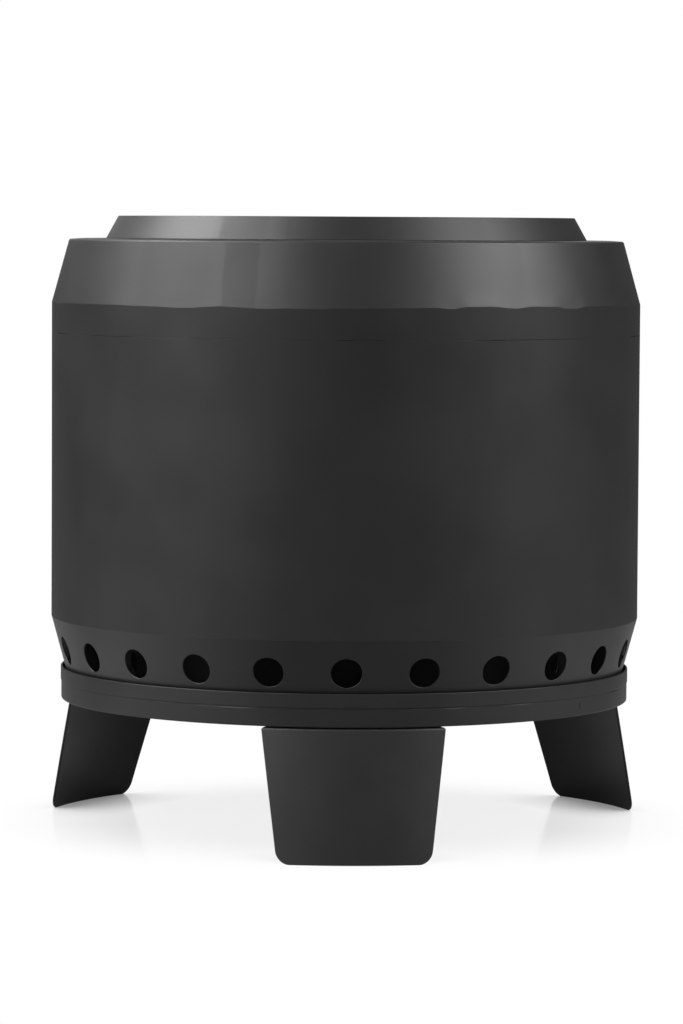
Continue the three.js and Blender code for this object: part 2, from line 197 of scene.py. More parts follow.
# The stretches where the strip's upper edge was filed off and catches the light, each from and to in degrees
# from the front, with its share of the whole depth.
filed_stretches = (
    (-39.2, -36.2, 0.7), (-30, -27.6, 0.7), (-25.4, -18.8, 0.9), (11.4, 15.8, 0.7), (19, 23.6, 0.8),
    (34, 38.4, 0.7), (66, 71, 0.6), (88, 97, 0.8), (128, 133, 0.7), (160, 171, 0.6), (197, 203, 0.9),
    (231, 236, 0.7), (262, 270, 0.6),
)


def bent(corners, longest):
    """Points of a closed line with rounded corners, each a radius, a height and a bend radius.

    A corner without a bend is kept as a marked point. Short faces beside each bend keep the shading crisp,
    and no face is longer than the longest."""
    points = []
    for i, (radius, height, bend) in enumerate(corners):
        here = Vector((radius, height))
        if bend is None:
            points.append((here, True))
            continue
        to_last = Vector(corners[i - 1][:2]) - here
        to_next = Vector(corners[(i + 1) % len(corners)][:2]) - here
        half = to_last.angle(to_next) / 2
        reach = min(bend / math.tan(half), bend_room_share * min(to_last.length, to_next.length))
        bend = reach * math.tan(half)
        to_last.normalize()
        to_next.normalize()
        centre = here + (to_last + to_next).normalized() * bend / math.sin(half)
        start = here + to_last * reach - centre
        end = here + to_next * reach - centre
        sweep = math.atan2(start.x * end.y - start.y * end.x, start.dot(end))
        for step in range(bend_steps + 1):
            points.append((centre + Matrix.Rotation(sweep * step / bend_steps, 2) @ start, False))
    line = []
    for i, (point, marked) in enumerate(points):
        line.append((point, marked))
        following, next_marked = points[(i + 1) % len(points)]
        run = (following - point).length
        on_axis = point.x == 0 and following.x == 0
        if on_axis or (marked and next_marked) or run < 4 * bend_guard:
            continue
        pieces = max(1, math.ceil((run - 2 * bend_guard) / longest))
        for step in range(pieces + 1):
            along = bend_guard + (run - 2 * bend_guard) * step / pieces
            line.append((point.lerp(following, along / run), False))
    return line


def sheet_outline(line, thickness, edge=sheet_edge, longest=longest_face):
    """The closed outline of a bent sheet that lies on the left of a line of corners."""
    corners = [Vector(corner[:2]) for corner in line]
    ways = [(after - before).normalized() for before, after in zip(corners, corners[1:])]
    outer, inner = [], []
    for i, corner in enumerate(corners):
        before, after = ways[max(i - 1, 0)], ways[min(i, len(ways) - 1)]
        left_before, left_after = Vector((-before.y, before.x)), Vector((-after.y, after.x))
        far = corner + (left_before + left_after) / (1 + left_before.dot(left_after)) * thickness
        bend = far_bend = line[i][2]
        if i in (0, len(corners) - 1):
            bend = far_bend = None if corner.x == 0 else edge
        elif bend is not None:
            turns_left = before.x * after.y - before.y * after.x > 0
            far_bend = max(bend - thickness, tightest_bend) if turns_left else bend + thickness
        outer.append((*corner, bend))
        inner.append((*far, far_bend))
    return bent(outer + inner[::-1], longest)


def round_axis(azimuth, radius, height):
    """The place at this azimuth from the front, at this radius and height."""
    return radius * math.sin(azimuth), -radius * math.cos(azimuth), height


def turned(outline, azimuths, closed=True, wander=None):
    """An outline turned round the Z axis. The field between two marked points is left open."""
    mesh = bmesh.new()
    columns = []
    for azimuth in azimuths:
        places = [wander(azimuth, *point) if wander else point for point, _ in outline]
        columns.append([mesh.verts.new(round_axis(azimuth, *place)) for place in places])
    for left, right in zip(columns, columns[1:] + (columns[:1] if closed else [])):
        for i, (point, marked) in enumerate(outline):
            j = (i + 1) % len(outline)
            following, next_marked = outline[j]
            on_axis = point.x == 0 and following.x == 0
            if not on_axis and not (marked and next_marked and point.x > 0 and following.x > 0):
                mesh.faces.new((left[i], right[i], right[j], left[j]))
    bmesh.ops.remove_doubles(mesh, verts=mesh.verts, dist=double_reach)
    return mesh


def full_turn(sides=around, seam=0, width=0, columns=()):
    """Azimuths round a full turn, with more columns, in widths of a seam, beside that seam."""
    azimuths = [2 * math.pi * i / sides for i in range(sides)]
    return sorted(azimuths + [seam + column * width for column in columns])


def fill_mesh(data, mesh, smooth=True):
    """Writes a bmesh into a mesh, its faces outwards."""
    bmesh.ops.recalc_face_normals(mesh, faces=mesh.faces)
    for face in mesh.faces:
        face.smooth = smooth
    mesh.to_mesh(data)
    mesh.free()


def as_piece(name, mesh, material):
    """A smooth, closed piece from a bmesh."""
    data = bpy.data.meshes.new(name)
    fill_mesh(data, mesh)
    data.materials.append(material)
    return add_object(name, data)


def turned_piece(name, line, thickness, finish, azimuths=full_turn(), wander=None, **faces):
    """A piece of bent sheet turned round the Z axis."""
    return as_piece(name, turned(sheet_outline(line, thickness, **faces), azimuths, wander=wander), finish)


def stretch_share(stretches, azimuth):
    """The share of a stretch of the seam that reaches this azimuth, or 0 between the stretches."""
    most = 0
    for start, end, share in stretches:
        middle, half = math.radians((start + end) / 2), math.radians((end - start) / 2)
        off = abs(math.remainder(azimuth - middle, 2 * math.pi)) - half
        most = max(most, share * min(max(0.5 - off / stretch_end, 0), 1))
    return most


def ring_marks(azimuth, radius, height):
    """The butt weld leaves a short upright groove in the strip's outer face, and its upper edge is filed off
    here and there."""
    if radius < ring_radius - ring_sheet / 2:
        return radius, height
    off = abs(azimuth - joint_azimuth) * ring_radius / (joint_width / 2)
    up = (height - ring_low.z) / (ring_high.z - ring_low.z)
    if off < 1 and joint_reach[0] < up < joint_reach[1]:
        radius -= joint_depth * (1 - off) ** 0.5
    filed = max(height - ring_high.z + burr_height, 0) / burr_height
    return radius - burr_depth * filed * stretch_share(filed_stretches, azimuth), height


leg_ring = turned_piece(
    "rolled_leg_ring",
    [(ring_eye, ring_low.z, 0), (ring_radius, ring_low.z, ring_bend), (ring_radius, ring_high.z, 0)],
    ring_sheet,
    satin_paint,
    full_turn(fine_around, joint_azimuth, joint_width / ring_radius, joint_columns),
    ring_marks,
    edge=0.1 * MM,
    longest=0.9 * MM,
)
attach(leg_ring, "stand")
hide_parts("leg_ring")


# Base tray
# A shallow pan drawn from 1.5 mm sheet that lies in the leg ring. Its rim steps out over the ring and stands
# up as the upper half of the band, and its middle is pressed down to stiffen it. Painted as the ring is.
tray_low, tray_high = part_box("base_tray")
tray_sheet = 1.5 * MM
tray_radius = tray_high.x
tray_drop = 1 * MM
tray_drop_edge = ring_eye - 6 * MM
tray_drop_ramp = 4 * MM
tray_drop_bend = 4 * MM
tray_well = ring_radius - 2.3 * MM
tray_well_bend = 1.8 * MM
tray_step = ring_high.z + 0.08 * MM
tray_step_bends = (0.4 * MM, 0.45 * MM)
base_tray = turned_piece(
    "drawn_base_tray",
    [
        (0, tray_low.z, 0),
        (tray_drop_edge - tray_drop_ramp, tray_low.z, tray_drop_bend),
        (tray_drop_edge, tray_low.z + tray_drop, tray_drop_bend),
        (tray_well, tray_low.z + tray_drop, tray_well_bend),
        (tray_well, tray_step, tray_step_bends[0]),
        (tray_radius, tray_step, tray_step_bends[1]),
        (tray_radius, tray_high.z, 0),
    ],
    tray_sheet,
    satin_paint,
)
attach(base_tray, "stand")
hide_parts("base_tray")


# Legs
# Three legs cut from 2 mm sheet, rolled to the ring's curve, splayed outwards and bent in at the top to a
# flange that is bolted under the ring. The foot's corners are cut round, and the paint softens the edges.
leg_sheet = 2 * MM
leg_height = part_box("leg_front")[1].z - floor_level
leg_bend = 2.05 * MM
leg_spread = 24 * MM
leg_lean = leg_spread / (leg_height - leg_bend)
leg_widths = (124.2 * MM, 150 * MM)  # at the foot and at the top
leg_corner = 10.5 * MM
leg_shoulder = 1.5 * MM
leg_edge = 0.45 * MM
leg_end_clear = 1.1 * leg_edge  # how far the rows of faces keep off a rounded end
leg_columns = 28
leg_rows = 9
leg_bend_rows = 6
leg_flange_rows = 4
corner_steps = 12
lip_steps = 3
leg_azimuths = {"leg_front": 1.5, "leg_right": 120, "leg_left": 240}


def quarter_arc(radius):
    """Points round a rounded edge, as distances from the two sides of its square corner."""
    angles = [math.pi / 2 * step / lip_steps for step in range(lip_steps + 1)]
    return [(radius * (1 - math.sin(angle)), radius * (1 - math.cos(angle))) for angle in angles]


def join_rings(mesh, rings):
    """Faces between each closed ring of vertices and the next."""
    for lower, upper in zip(rings, rings[1:]):
        for i in range(len(lower)):
            j = (i + 1) % len(lower)
            mesh.faces.new((lower[i], lower[j], upper[j], upper[i]))


def leg_half_width(height):
    """Half the leg's width at this height above the floor, measured along the sheet."""
    share = min(height / (leg_height - leg_bend), 1)
    half = leg_widths[0] / 2 + (leg_widths[1] - leg_widths[0]) / 2 * share
    if height < leg_corner:
        half -= leg_corner - math.sqrt(leg_corner ** 2 - (leg_corner - height) ** 2)
    if height > leg_height - leg_bend:
        half -= leg_shoulder * (height - leg_height + leg_bend) / leg_bend
    return half


def leg_stations():
    """Points up the leg's outer face, from foot to flange, each with the way to its inner face."""
    heights = [leg_corner * (1 - math.cos(math.pi / 2 * i / corner_steps)) for i in range(corner_steps + 1)]
    last = leg_height - leg_bend - leg_bend * leg_lean
    heights += [leg_corner + (last - leg_corner) * i / leg_rows for i in range(1, leg_rows)]
    heights += [last - bend_guard, last]
    slope = math.hypot(1, leg_lean)
    inwards = Vector((-1 / slope, -leg_lean / slope))
    foot = ring_radius + leg_spread
    stations = [(Vector((foot - leg_lean * h, floor_level + h)), inwards) for h in heights]
    centre = stations[-1][0] + inwards * leg_bend
    start = math.atan2(-inwards.y, -inwards.x)
    for step in range(1, leg_bend_rows + 1):
        angle = start + (math.pi / 2 - start) * step / leg_bend_rows
        out = Vector((math.cos(angle), math.sin(angle)))
        stations.append((centre + out * leg_bend, -out))
    flange_start, flange_height = stations[-1][0]
    for step in range(1, leg_flange_rows + 1):
        radius = flange_start + (ring_eye - flange_start) * step / leg_flange_rows
        stations.append((Vector((radius, flange_height)), Vector((0, -1))))
    return stations


def leg_section(half, inset):
    """The closed outline across the leg, of sideways places and depths, drawn in by the inset."""
    flat = half - leg_edge - bend_guard
    across = [flat * (2 * j / leg_columns - 1) for j in range(leg_columns + 1)]
    arc = [(half - aside, depth) for aside, depth in quarter_arc(leg_edge)]
    loop = [(x, 0) for x in across] + arc + [(x, leg_sheet - depth) for x, depth in reversed(arc)]
    loop += [(-x, leg_sheet - depth) for x, depth in loop]
    most = half - inset
    return [(max(-most, min(most, x)), max(inset, min(leg_sheet - inset, depth))) for x, depth in loop]


def leg_mesh(azimuth):
    """A closed leg at this azimuth: outlines across the sheet from foot to flange, and a cap at each end."""
    mesh = bmesh.new()
    stations = leg_stations()
    first, last = stations[0][0], stations[-1][0]
    ends = []
    for end, way in ((0, 1), (len(stations) - 1, -1)):
        point, inwards = stations[end]
        along = (stations[end + way][0] - point).normalized()
        ends.append([(point + along * back, inwards, inset) for inset, back in quarter_arc(leg_edge)])
    middle = [
        (point, inwards, 0)
        for point, inwards in stations
        if min((point - first).length, (point - last).length) > leg_end_clear
    ]
    loops = []
    for point, inwards, inset in ends[0] + middle + ends[1][::-1]:
        half = leg_half_width(point.y - floor_level)
        loop = []
        for x, depth in leg_section(half, inset):
            place = point + inwards * depth
            angle = azimuth + x / max(point.x, ring_radius)
            height = max(place.y, floor_level)  # the foot is cut level with the ground
            loop.append(mesh.verts.new(round_axis(angle, place.x, height)))
        loops.append(loop)
    join_rings(mesh, loops)
    size = len(loops[0])
    opposite = size // 2 + leg_columns
    for loop in (loops[0], loops[-1]):
        for i in range(leg_columns):
            mesh.faces.new((loop[i], loop[i + 1], loop[opposite - i - 1], loop[opposite - i]))
        mesh.faces.new(loop[leg_columns:size // 2 + 1])
        mesh.faces.new(loop[opposite:] + loop[:1])
    bmesh.ops.remove_doubles(mesh, verts=mesh.verts, dist=double_reach)
    return mesh


for leg_name, degrees in leg_azimuths.items():
    leg = as_piece("curved_" + leg_name, leg_mesh(math.radians(degrees)), satin_paint)
    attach(leg, "stand")
    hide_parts(leg_name)


# Leg studs
# Six M6 weld studs, two for each leg, fused to the underside of the ring's flange. Zinc plated steel, with a
# rolled thread and the small collar of the weld at the root.

# Zinc plate, passivated clear: a dull bright blue-grey metal with a faint cloudiness.
zinc_light = srgb("#b4b8be")
zinc_dark = srgb("#9a9fa6")
zinc_cloud = 3 * MM
zinc_roughness = (0.28, 0.5)

zinc, tree = new_material("clear_passivated_zinc")
place = add_node(tree, "ShaderNodeTexCoord").outputs["Object"]
cloud = add_node(tree, "ShaderNodeTexNoise", {"Vector": place, "Scale": 1 / zinc_cloud, "Detail": 4})
end_material(tree, {**blend(tree, cloud, (zinc_dark, zinc_light), zinc_roughness), "Metallic": 1})

stud_radius = 3 * MM
stud_low, stud_high = (corner.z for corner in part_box("leg_stud_1"))
stud_circle = ring_radius - 13 * MM  # from the axis to the studs
stud_aside = math.asin((leg_widths[1] / 2 - 29 * MM) / stud_circle)  # each side of the leg's middle
stud_names = ["leg_stud_%d" % number for number in range(1, 7)]
thread_pitch = 1 * MM
thread_depth = 0.55 * MM
thread_rings = 4  # in one turn of the thread
thread_sides = 16
stud_point = 0.25 * MM
stud_point_depth = 1.3 * thread_depth
weld_collar = 2.4 * MM


def stud_prototype():
    """One stud at the origin: a rod whose radius rises and falls along a helix, and a plain root."""
    mesh = bmesh.new()
    length = stud_high - stud_low
    root = length - weld_collar
    step = thread_pitch / thread_rings
    heights = [0, stud_point] + [stud_point + step * i for i in range(1, int(root / step))] + [root, length]
    rings = []
    for height in heights:
        ring = []
        for side in range(thread_sides):
            turn = side / thread_sides
            depth = thread_depth * (0.5 + 0.5 * math.cos(2 * math.pi * (height / thread_pitch - turn)))
            if height == 0:
                depth = stud_point_depth
            if height >= root:
                depth = 0
            radius, angle = stud_radius - depth, 2 * math.pi * turn
            x, y = radius * math.cos(angle), radius * math.sin(angle)
            ring.append(mesh.verts.new((x, y, stud_low + height)))
        rings.append(ring)
    join_rings(mesh, rings)
    mesh.faces.new(rings[0])
    mesh.faces.new(rings[-1])
    return as_piece("stud_prototype", mesh, zinc)


def new_tree(name, **inputs):
    """An empty geometry tree with its group input and the kinds of its named inputs."""
    tree = bpy.data.node_groups.new(name, "GeometryNodeTree")
    tree.interface.new_socket("Geometry", in_out="INPUT", socket_type="NodeSocketGeometry")
    for label, kind in inputs.items():
        tree.interface.new_socket(label.replace("_", " "), in_out="INPUT", socket_type="NodeSocket" + kind)
    tree.interface.new_socket("Geometry", in_out="OUTPUT", socket_type="NodeSocketGeometry")
    return tree, add_node(tree, "NodeGroupInput").outputs


def turned_copies(tree, points, instance, turn):
    """Copies of a shape on these points, each turned round its own upright axis."""
    euler = add_node(tree, "ShaderNodeCombineXYZ", {"Z": turn})
    rotation = add_node(tree, "FunctionNodeEulerToRotation", {"Euler": euler})
    return add_node(
        tree, "GeometryNodeInstanceOnPoints", {"Points": points, "Instance": instance, "Rotation": rotation}
    )


def end_tree(tree, given, geometry):
    """The end of a geometry tree: its instances are made real, welded where the tree has a reach for that,
    and given their material."""
    solid = add_node(tree, "GeometryNodeRealizeInstances", {"Geometry": geometry})
    if "Weld" in given:
        solid = add_node(tree, "GeometryNodeMergeByDistance", {"Geometry": solid, "Distance": given["Weld"]})
    finished = add_node(tree, "GeometryNodeSetMaterial", {"Geometry": solid, "Material": given["Finish"]})
    add_node(tree, "NodeGroupOutput", {"Geometry": finished})


def grown(name, seed_mesh, tree, smooth=True, **values):
    """The plain mesh that a geometry tree makes of a bmesh."""
    data = bpy.data.meshes.new(name)
    seed_mesh.to_mesh(data)
    seed_mesh.free()
    piece = add_object(name, data)
    modifier = piece.modifiers.new(tree.name, "NODES")
    modifier.node_group = tree
    for item in tree.interface.items_tree:
        key = item.name.replace(" ", "_")
        if item.in_out == "INPUT" and key in values:
            modifier[item.identifier] = values[key]
    depsgraph = bpy.context.evaluated_depsgraph_get()
    result = bpy.data.meshes.new_from_object(piece.evaluated_get(depsgraph), depsgraph=depsgraph)
    piece.modifiers.remove(modifier)
    mesh = bmesh.new()
    mesh.from_mesh(result)
    fill_mesh(result, mesh, smooth)
    result.name = name
    piece.data = result
    return piece


# A copy of the prototype on each point, turned by chance round its own axis.
fastener_tree, given = new_tree("fasteners_on_points", Prototype="Object", Seed="Int", Finish="Material")
prototype = add_node(fastener_tree, "GeometryNodeObjectInfo", {"Object": given["Prototype"]})
turn = add_node(
    fastener_tree,
    "FunctionNodeRandomValue",
    {"Min": 0, "Max": 2 * math.pi, "Seed": given["Seed"]},
    data_type="FLOAT",
)
fasteners = turned_copies(fastener_tree, given["Geometry"], prototype.outputs["Geometry"], turn)
end_tree(fastener_tree, given, fasteners)


def stud_points():
    """A mesh of six loose points on the studs' axes."""
    mesh = bmesh.new()
    for degrees in leg_azimuths.values():
        for way in (-1, 1):
            mesh.verts.new(round_axis(math.radians(degrees) + way * stud_aside, stud_circle, 0))
    return mesh


stud = stud_prototype()
leg_studs = grown("weld_studs", stud_points(), fastener_tree, Prototype=stud, Seed=7, Finish=zinc)
bpy.data.objects.remove(stud)
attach(leg_studs, "stand")
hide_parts(*stud_names)


# Leg nuts
# Six M6 hexagon nuts that clamp the legs' flanges up under the ring. Zinc plated, with chamfered corners,
# each tightened to its own angle.
nut_low, nut_high = (corner.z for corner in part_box("leg_nut_1"))
nut_half_flat = 5 * MM
nut_chamfer = 0.45 * MM
nut_round = 1.02 * nut_half_flat  # the corners' radius at both faces
nut_bore = stud_radius - 0.2 * thread_depth
nut_sides = 24
nut_names = ["leg_nut_%d" % number for number in range(1, 7)]


def nut_prototype():
    """One hexagon nut at the origin, its corners cut back at both faces and its bore countersunk."""
    mesh = bmesh.new()
    low, high = nut_low + nut_chamfer, nut_high - nut_chamfer
    outside = [(nut_low, True, False), (low, False, False), (high, False, False), (nut_high, True, False)]
    inside = [(height, cut_back, True) for height, cut_back, _ in reversed(outside)]
    rings = []
    for height, cut_back, in_bore in outside + inside:
        ring = []
        for side in range(nut_sides):
            angle = 2 * math.pi * side / nut_sides
            off = (angle + math.pi / 6) % (math.pi / 3) - math.pi / 6
            radius = nut_half_flat / math.cos(off)
            if in_bore:
                radius = nut_bore + (nut_chamfer if cut_back else 0)
            elif cut_back:
                radius = min(radius, nut_round)
            ring.append(mesh.verts.new((radius * math.cos(angle), radius * math.sin(angle), height)))
        rings.append(ring)
    join_rings(mesh, rings + rings[:1])
    bmesh.ops.remove_doubles(mesh, verts=mesh.verts, dist=double_reach)
    return as_piece("nut_prototype", mesh, zinc)


nut = nut_prototype()
leg_nuts = grown(
    "hexagon_nuts", stud_points(), fastener_tree, smooth=False, Prototype=nut, Seed=3, Finish=zinc
)
bpy.data.objects.remove(nut)
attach(leg_nuts, "stand")
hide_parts(*nut_names)


# Base plate
# The pit's raised floor, pressed from 1.5 mm brushed stainless sheet. Its rim rests on the cone's foot flange
# and its middle carries the hearth and the ash pan.

# Stainless sheet, 304, with the mill's brushed grain: long fine scratches that draw light out across them.
steel_light = srgb("#b9b5ae")
steel_dark = srgb("#a19d96")
steel_roughness = (0.26, 0.4)
steel_anisotropy = 0.4
grain_width = 0.5 * MM  # coarser than the mill's own, so that it shows
grain_length = 45 * MM
grain_strength = 0.12
grain_depth = 0.03 * MM
smudge_size = 60 * MM
smudge_roughness = (-0.04, 0.06)  # added to the steel's own


def brushed_stainless(name, stretch, turn):
    """Brushed stainless sheet with its grain along the given stretch of the object's axes."""
    steel, tree = new_material(name)
    place = add_node(tree, "ShaderNodeTexCoord").outputs["Object"]
    drawn = add_node(tree, "ShaderNodeMapping", {"Vector": place, "Scale": stretch})
    grain = add_node(tree, "ShaderNodeTexNoise", {"Vector": drawn, "Scale": 1, "Detail": 3})
    smudge = add_node(tree, "ShaderNodeTexNoise", {"Vector": place, "Scale": 1 / smudge_size, "Detail": 2})
    shade = blend(tree, grain, (steel_dark, steel_light), steel_roughness)
    haze = add_node(
        tree,
        "ShaderNodeMapRange",
        {"Value": smudge, "To Min": smudge_roughness[0], "To Max": smudge_roughness[1]},
    )
    shade["Roughness"] = add_node(tree, "ShaderNodeMath", {0: shade["Roughness"], 1: haze}, operation="ADD")
    shade["Normal"] = add_node(
        tree, "ShaderNodeBump", {"Height": grain, "Strength": grain_strength, "Distance": grain_depth}
    )
    drawn_out = {"Anisotropic": steel_anisotropy, "Anisotropic Rotation": turn}
    end_material(tree, {**shade, "Metallic": 1, **drawn_out})
    return steel


along_grain, across_grain = 1 / grain_length, 1 / grain_width
flat_stainless = brushed_stainless(
    "straight_brushed_stainless", (along_grain, across_grain, along_grain), 0
)
rolled_stainless = brushed_stainless(
    "rolled_brushed_stainless", (along_grain, along_grain, across_grain), 0.25
)

plate_low, plate_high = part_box("base_plate")
plate_sheet = 1.5 * MM
plate_middle = plate_high.z - plate_sheet
plate_ramp = (205.6 * MM, 215.6 * MM)
plate_bend = 5 * MM
base_plate = turned_piece(
    "pressed_base_plate",
    [
        (0, plate_middle, 0),
        (plate_ramp[0], plate_middle, plate_bend),
        (plate_ramp[1], plate_low.z, plate_bend),
        (plate_high.x, plate_low.z, 0),
    ],
    plate_sheet,
    flat_stainless,
    full_turn(sides=120),
    longest=24 * MM,
)
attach(base_plate, "drum")
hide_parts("base_plate")


# Hearth
# The firebox's narrow foot, rolled from 1.2 mm sheet: 18 punched air holes low down, a taper that widens to
# the firebox wall, and a turned-out flange spot welded to the base plate. Painted, as the outer wall is.
hole_guard = 0.35 * MM  # the width of the flat face round a hole's lip
hole_blends = (0, 0.35, 0.7)  # rings of faces between the field's border and the hole
sector_weld = 0.002 * MM
halvings = 40


def circle_ray(radius):
    """How far a round hole reaches in every direction, grown by a margin."""
    return lambda angle, grow: radius + grow


def slot_ray(half_width, half_height, corner):
    """How far a slot with rounded corners reaches in each direction, grown by a margin."""
    def reach(angle, grow):
        across, up = abs(math.cos(angle)), abs(math.sin(angle))
        low, high = 0, half_width + half_height
        for _ in range(halvings):
            middle = (low + high) / 2
            x = max(middle * across - (half_width - corner), 0)
            y = max(middle * up - (half_height - corner), 0)
            if math.hypot(x, y) > corner + grow:
                high = middle
            else:
                low = middle
        return low
    return reach


def hole_field(mesh, band, thickness, hole_height, ray, half_sector, grid, lip):
    """Closes the open field of a sector with sheet round one punched hole, its lips rounded by the paint."""
    columns, rows = grid
    start, end = (Vector(point) for point in band)
    way = (end - start).normalized()
    left = Vector((-way.y, way.x))
    slant = (end - start).length
    centre = (hole_height - start.y) / way.y
    middle_radius = (start + way * centre).x
    half_arc = half_sector * middle_radius
    border = [(-half_arc + 2 * half_arc * i / columns, -centre) for i in range(columns)]
    border += [(half_arc, -centre + slant * i / rows) for i in range(rows)]
    border += [(half_arc - 2 * half_arc * i / columns, slant - centre) for i in range(columns)]
    border += [(-half_arc, slant - centre - slant * i / rows) for i in range(rows)]
    lips = quarter_arc(lip)
    lips += [(grow, thickness - depth) for grow, depth in reversed(lips)]
    flat = lip + hole_guard
    # Each ring of vertices: its share of the way from border to hole, the hole's margin and its depth.
    steps = [(share, flat, 0) for share in hole_blends] + [(1, flat, 0)]
    steps += [(1, grow, depth) for grow, depth in lips] + [(1, flat, thickness)]
    steps += [(share, flat, thickness) for share in reversed(hole_blends)]
    rings = []
    for share, grow, depth in steps:
        ring = []
        for x, y in border:
            angle = math.atan2(y, x)
            reach = ray(angle, grow)
            x += (reach * math.cos(angle) - x) * share
            y += (reach * math.sin(angle) - y) * share
            point = start + way * (centre + y) + left * depth
            ring.append(mesh.verts.new(round_axis(x / middle_radius, point.x, point.y)))
        rings.append(ring)
    join_rings(mesh, rings)


# Copies of one sector turned round the Z axis until they close.
axis_tree, given = new_tree("round_the_axis", Count="Int", Weld="Float", Finish="Material")
points = add_node(axis_tree, "GeometryNodePoints", {"Count": given["Count"]})
index = add_node(axis_tree, "GeometryNodeInputIndex")
share = add_node(axis_tree, "ShaderNodeMath", {0: index, 1: given["Count"]}, operation="DIVIDE")
turn = add_node(axis_tree, "ShaderNodeMath", {0: share, 1: 2 * math.pi}, operation="MULTIPLY")
end_tree(axis_tree, given, turned_copies(axis_tree, points, given["Geometry"], turn))


def pierced_ring(name, line, thickness, finish, holes, hole_height, ray, grid, lip=sheet_edge):
    """A turned sheet with a ring of equal holes between its line's two marked corners."""
    half_sector = math.pi / holes
    azimuths = [half_sector * (2 * i / grid[0] - 1) for i in range(grid[0] + 1)]
    sector = turned(sheet_outline(line, thickness), azimuths, closed=False)
    band = [corner[:2] for corner in line if corner[2] is None]
    hole_field(sector, band, thickness, hole_height, ray, half_sector, grid, lip)
    bmesh.ops.remove_doubles(sector, verts=sector.verts, dist=sector_weld)
    return grown(name, sector, axis_tree, Count=holes, Weld=sector_weld, Finish=finish)


fire_sheet = 1.2 * MM
hearth_low, hearth_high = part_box("firebox_hearth")
hearth_foot = hearth_low.z + fire_sheet
hearth_radius = 187.2 * MM
hearth_taper = (42 * MM, 62 * MM)  # above its foot
hearth_taper_bend = 4 * MM
hearth_flange = 7.8 * MM
hearth_flange_bend = 1.5 * MM
hearth_holes = 18
hearth_hole = 8 * MM
hearth_hole_height = hearth_low.z + 20 * MM
hearth_band = 13 * MM  # how far the field with the holes reaches below and above them
hearth = pierced_ring(
    "rolled_hearth",
    [
        (hearth_radius + hearth_flange, hearth_foot, 0),
        (hearth_radius, hearth_foot, hearth_flange_bend),
        (hearth_radius, hearth_hole_height - hearth_band, None),
        (hearth_radius, hearth_hole_height + hearth_band, None),
        (hearth_radius, hearth_low.z + hearth_taper[0], hearth_taper_bend),
        (hearth_high.x, hearth_low.z + hearth_taper[1], hearth_taper_bend),
        (hearth_high.x, hearth_high.z, 0),
    ],
    fire_sheet,
    satin_paint,
    holes=hearth_holes,
    hole_height=hearth_hole_height,
    ray=circle_ray(hearth_hole),
    grid=(10, 4),
)
hearth.data.transform(Matrix.Rotation(math.pi / hearth_holes, 4, "Z"))
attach(hearth, "drum")
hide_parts("firebox_hearth")


# Firebox wall
# The inner wall, rolled from 1.2 mm stainless: 36 round holes below the rim that blow the secondary air into
# the smoke, and a turned-out flange under the shelf. It laps inside the hearth's rim.
fire_low, fire_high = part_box("firebox_wall")
fire_inner = 198.8 * MM
fire_flange_bend = 1.5 * MM
fire_hole = 5 * MM
fire_hole_height = fire_high.z - 28.78 * MM
fire_band = 9 * MM
firebox_wall = pierced_ring(
    "rolled_firebox_wall",
    [
        (fire_high.x, fire_high.z, 0),
        (fire_inner, fire_high.z, fire_flange_bend),
        (fire_inner, fire_hole_height + fire_band, None),
        (fire_inner, fire_hole_height - fire_band, None),
        (fire_inner, fire_low.z, 0),
    ],
    fire_sheet,
    rolled_stainless,
    holes=36,
    hole_height=fire_hole_height,
    ray=circle_ray(fire_hole),
    grid=(6, 4),
)
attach(firebox_wall, "drum")
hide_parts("firebox_wall")


# Intake cone
# The outer wall's lower part, rolled to a cone from 1.2 mm sheet: 24 punched air holes, a foot turned in
# under the base plate, and a joggled edge on which the body wall is welded. Satin stove paint.
cone_low, cone_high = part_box("intake_cone")
drum_radius = cone_high.x
drum_sheet = 1.2 * MM
drum_lap = 12 * MM
drum_joggle = 1.5 * MM
joggle_bend = 0.2 * MM
cone_kink = cone_high.z - drum_lap
cone_kink_bend = 0.06 * MM
cone_slope = 0.2709
cone_flange = 14 * MM
cone_flange_bend = 1.6 * MM
intake_hole = 12.5 * MM
intake_height = cone_low.z + 39.8 * MM
intake_band = 16.5 * MM


def cone_radius(height):
    """The cone's outer radius at this height."""
    return drum_radius - cone_slope * (cone_kink - height)


intake_cone = pierced_ring(
    "rolled_intake_cone",
    [
        (cone_radius(cone_low.z) - cone_flange, cone_low.z, 0),
        (cone_radius(cone_low.z), cone_low.z, cone_flange_bend),
        (cone_radius(intake_height - intake_band), intake_height - intake_band, None),
        (cone_radius(intake_height + intake_band), intake_height + intake_band, None),
        (drum_radius, cone_kink, cone_kink_bend),
        (drum_radius - drum_joggle, cone_kink, joggle_bend),
        (drum_radius - drum_joggle, cone_high.z, 0),
    ],
    drum_sheet,
    satin_paint,
    holes=24,
    hole_height=intake_height,
    ray=circle_ray(intake_hole),
    grid=(8, 6),
    lip=0.5 * MM,
)
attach(intake_cone, "drum")
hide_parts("intake_cone")


# Body wall
# The outer wall's cylinder, rolled from 1.2 mm sheet and butt welded at the back, where the ground weld
# leaves a faint upright line. Its upper edge is joggled in to take the shroud.
wall_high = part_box("body_wall")[1]
wall_shoulder = wall_high.z - drum_lap + 0.28 * MM  # up to the shroud
wall_shoulder_bend = 0.05 * MM
wall_foot = cone_kink + 0.02 * MM
weld_azimuth = math.pi
weld_width = 3 * MM
weld_dip = 0.12 * MM
weld_columns = (-2, -1, -0.5, 0.5, 1, 2)  # in widths of the weld
wall_wander = 0.12 * MM
